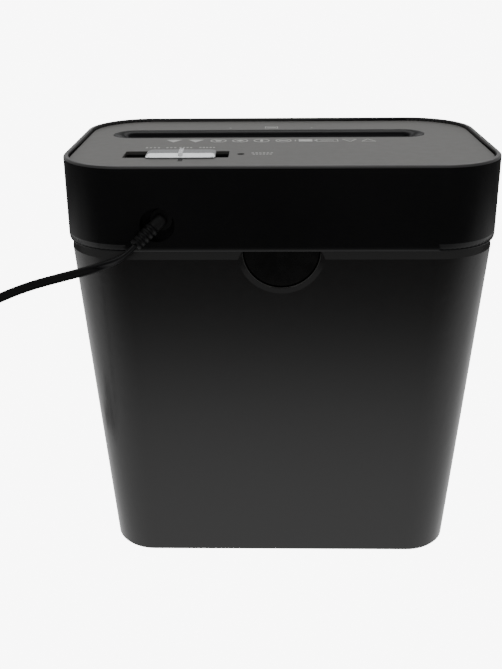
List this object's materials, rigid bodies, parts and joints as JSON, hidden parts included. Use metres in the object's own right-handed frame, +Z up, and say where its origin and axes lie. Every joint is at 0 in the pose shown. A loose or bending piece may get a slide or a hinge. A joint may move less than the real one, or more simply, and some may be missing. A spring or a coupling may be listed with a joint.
{
  "type": "paper shredder",
  "caption": "Desk-side paper shredder: motorised cutter head with a wide paper slot and slide switch, lifting off a tapered waste bin.",
  "frame": {"origin": "centre of the footprint, on the surface it stands on, measured without the cord", "axes": "+Z up, -Y front, +Y back where the cord comes out, +X to the right seen from the front"},
  "size_m": [0.5234, 0.2404, 0.3169],
  "materials": {
    "bin_plastic": "fine moulded grain, satin black",
    "head_plastic": "smooth black, semi-gloss",
    "panel_grey": "satin grey, fine grain",
    "throat_black": "smooth black, semi-gloss",
    "well_black": "matte black",
    "knob_silver": "silver-painted plastic, satin",
    "lens_smoke": "smoked clear plastic",
    "tray_plastic": "satin black",
    "cutter_steel": "hardened steel, oiled",
    "plate_steel": "zinc-plated sheet steel",
    "comb_nylon": "black nylon",
    "bush_bronze": "sintered bronze",
    "gear_steel": "sintered steel",
    "gear_nylon": "natural nylon",
    "axle_steel": "ground steel",
    "motor_steel": "zinc-plated can",
    "motor_end": "black nylon",
    "pcb": "phenolic board",
    "component": "moulded components",
    "led": "tinted epoxy",
    "switch_body": "black thermoplastic",
    "lever_plastic": "natural acetal",
    "spring_steel": "bright spring wire",
    "screw_zinc": "zinc-plated",
    "boot_rubber": "soft black PVC",
    "flex_pvc": "black PVC flex, satin",
    "tie_black": "woven hook-and-loop band",
    "plug_pvc": "moulded black PVC",
    "pin_brass": "nickel-plated brass"
  },
  "bodies": {
    "bin": {"waste_bin": "bin_plastic", "cord_coil": "flex_pvc", "cord_tie": "tie_black", "plug_body": "plug_pvc", "plug_pins": "pin_brass"},
    "head": {"base_tray": "tray_plastic", "board_components": "component", "casing_screws": "screw_zinc", "circuit_board": "pcb", "cutter_bushes": "bush_bronze", "feed_throat": "throat_black", "gear_axles": "axle_steel", "gear_bracket": "plate_steel", "gear_standoffs": "plate_steel", "head_shell": "head_plastic", "indicator_lens": "lens_smoke", "interlock_spring": "spring_steel", "interlock_switch": "switch_body", "motor_bracket": "motor_end", "motor_case": "motor_steel", "motor_end_bell": "motor_end", "motor_screws": "screw_zinc", "plate_screws": "screw_zinc", "power_cord": "flex_pvc", "sensor_switch": "switch_body", "side_plate_drive": "plate_steel", "side_plate_idle": "plate_steel", "slide_switch": "switch_body", "status_led": "led", "strain_relief": "boot_rubber", "stripper_comb_front": "comb_nylon", "stripper_comb_rear": "comb_nylon", "switch_recess": "well_black", "throat_screws": "screw_zinc", "tie_bars": "axle_steel", "top_panel": "panel_grey"},
    "cutter_rear": {"cutter_rear": "cutter_steel", "cutter_gear_rear": "gear_steel", "final_gear": "gear_steel"},
    "cutter_front": {"cutter_front": "cutter_steel", "cutter_gear_front": "gear_steel"},
    "gear_2": {"reduction_gear_2": "gear_nylon"},
    "gear_1": {"reduction_gear_1": "gear_nylon"},
    "motor_rotor": {"motor_shaft": "axle_steel", "motor_pinion": "gear_steel"},
    "knob": {"switch_knob": "knob_silver"},
    "paper_lever": {"sensor_lever": "lever_plastic"},
    "plunger": {"interlock_plunger": "lever_plastic"}
  },
  "joints": [
    {"name": "head_lift", "type": "slide", "parent": "bin", "child": "head", "axis": [0, 0, 1], "range_m": [0, 0.12], "deforming": ["power_cord"]},
    {"name": "cutter_spin", "type": "hinge", "parent": "head", "child": "cutter_rear", "pos_m": [-0.115, -0.0208, 0.268], "axis": [1, 0, 0], "continuous": true},
    {"name": "front_cutter_spin", "type": "hinge", "parent": "head", "child": "cutter_front", "pos_m": [-0.115, -0.0458, 0.268], "axis": [1, 0, 0], "continuous": true},
    {"name": "gear_2_spin", "type": "hinge", "parent": "head", "child": "gear_2", "pos_m": [-0.115, 0.009, 0.27146], "axis": [1, 0, 0], "continuous": true},
    {"name": "gear_1_spin", "type": "hinge", "parent": "head", "child": "gear_1", "pos_m": [-0.115, 0.0335, 0.26276], "axis": [1, 0, 0], "continuous": true},
    {"name": "motor_spin", "type": "hinge", "parent": "head", "child": "motor_rotor", "pos_m": [-0.115, 0.045, 0.28122], "axis": [1, 0, 0], "continuous": true},
    {"name": "switch_slide", "type": "slide", "parent": "head", "child": "knob", "axis": [1, 0, 0], "range_m": [-0.008, 0.016]},
    {"name": "paper_lever_tilt", "type": "hinge", "parent": "head", "child": "paper_lever", "pos_m": [0.009, -0.019, 0.297], "axis": [1, 0, 0], "range_deg": [0, 30], "stiffness_Nm_per_rad": 0.01, "springref_deg": -20.05},
    {"name": "interlock_drop", "type": "slide", "parent": "head", "child": "plunger", "axis": [0, 0, -1], "range_m": [0, 0.0048], "deforming": ["interlock_spring"]}
  ],
  "couplings": [
    {"joint": "front_cutter_spin", "follows": "cutter_spin", "ratio": -1},
    {"joint": "gear_2_spin", "follows": "cutter_spin", "ratio": -3},
    {"joint": "gear_1_spin", "follows": "cutter_spin", "ratio": 10},
    {"joint": "motor_spin", "follows": "cutter_spin", "ratio": -48},
    {"joint": "interlock_drop", "follows": "head_lift", "ratio": 0.04}
  ]
}
